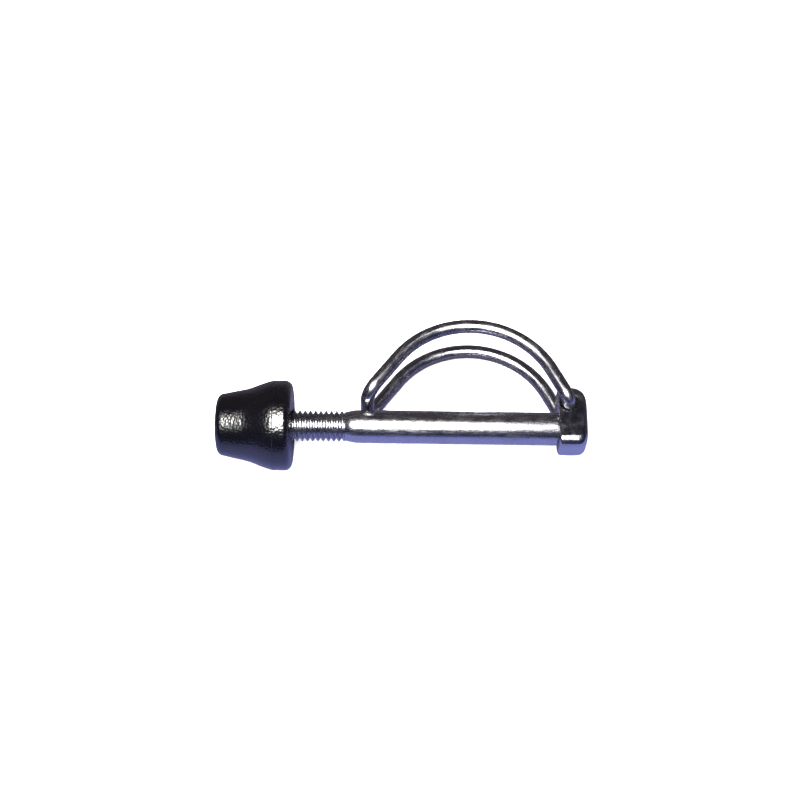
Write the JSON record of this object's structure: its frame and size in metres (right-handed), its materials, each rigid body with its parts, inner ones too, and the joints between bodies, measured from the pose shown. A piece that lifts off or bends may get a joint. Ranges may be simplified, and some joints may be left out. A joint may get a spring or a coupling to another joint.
{
  "type": "hitch pin lock",
  "caption": "Plated hitch pin with a block head, a swinging wire bail that closes over the shank, and a black screw-on knob on a threaded stud.",
  "frame": {"origin": "centre of the pin's end face, at the head end, on the pin's axis", "axes": "X along the pin, +X out of the head's end, knob at -X; +Y towards the side the bail stands out on; +Z across the pin, along the bail's pivot"},
  "size_m": [0.1115, 0.0466, 0.0272],
  "materials": {
    "plated_pin": "bright zinc-nickel plated turned steel",
    "plated_head": "bright plated forged steel",
    "plated_wire": "bright plated drawn steel wire",
    "turned_brass": "as turned",
    "black_plastic": "moulded with a fine leather grain"
  },
  "bodies": {
    "pin": {"pin_shank": "plated_pin", "pin_head": "plated_head"},
    "bail": {"wire_bail": "plated_wire"},
    "insert": {"knob_insert": "turned_brass"},
    "knob": {"knob_body": "black_plastic"}
  },
  "joints": [
    {"name": "bail_swing", "type": "hinge", "parent": "pin", "child": "bail", "pos_m": [-0.0055, 0.0063, 0], "axis": [0, 0, -1], "range_deg": [0, 345.9]},
    {"name": "knob_travel", "type": "slide", "parent": "pin", "child": "insert", "axis": [1, 0, 0], "range_m": [-0.00635, 0.00953]},
    {"name": "knob_spin", "type": "hinge", "parent": "insert", "child": "knob", "pos_m": [-0.08855, 0, 0], "axis": [1, 0, 0], "range_deg": [-1440, 2160]}
  ],
  "couplings": [
    {"joint": "knob_travel", "follows": "knob_spin", "m_per_rad": 0.00025266}
  ]
}
